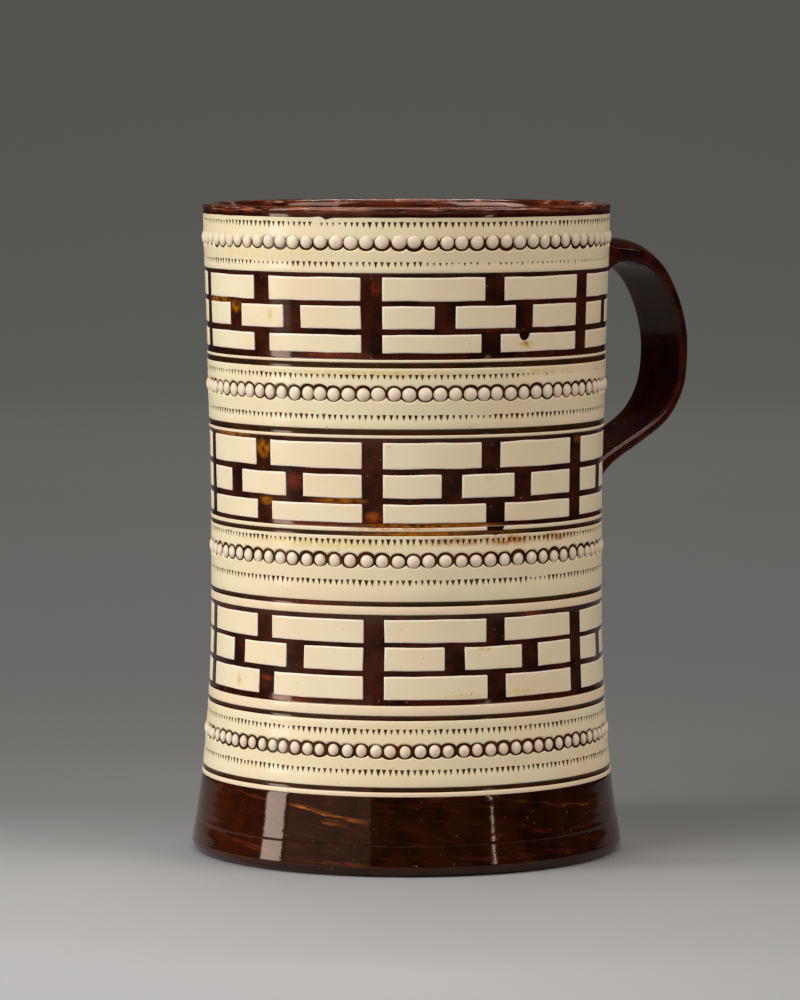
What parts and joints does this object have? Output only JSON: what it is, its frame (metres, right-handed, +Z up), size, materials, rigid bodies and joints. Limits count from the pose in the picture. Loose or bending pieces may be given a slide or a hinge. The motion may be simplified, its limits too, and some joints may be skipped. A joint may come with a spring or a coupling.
{
  "type": "mug",
  "caption": "Straight-sided pottery mug with relief brickwork in brown slip, rows of raised beads, slip lines and a strap handle.",
  "frame": {"origin": "centre of the flat base, where it stands", "axes": "+Z up along the axis of the body; +X out along the middle of the handle"},
  "size_m": [0.1304, 0.1018, 0.152],
  "materials": {
    "cream_glaze": "clear lead glaze over cream clay",
    "bead_glaze": "clear glaze, thin over white beads",
    "brown_slip": "glossy glaze over dark brown slip",
    "handle_slip": "glossy glaze over dark brown slip"
  },
  "bodies": {
    "root": {"body": "cream_glaze", "handle": "handle_slip", "rim_slip": "brown_slip", "foot_slip": "brown_slip", "brick_slip_lower": "brown_slip", "brick_slip_middle": "brown_slip", "brick_slip_upper": "brown_slip", "line_slip_1": "brown_slip", "line_slip_2": "brown_slip", "line_slip_3": "brown_slip", "line_slip_4": "brown_slip", "line_slip_5": "brown_slip", "line_slip_6": "brown_slip", "bead_row_1": "bead_glaze", "bead_row_2": "bead_glaze", "bead_row_3": "bead_glaze", "bead_row_4": "bead_glaze"}
  },
  "joints": []
}
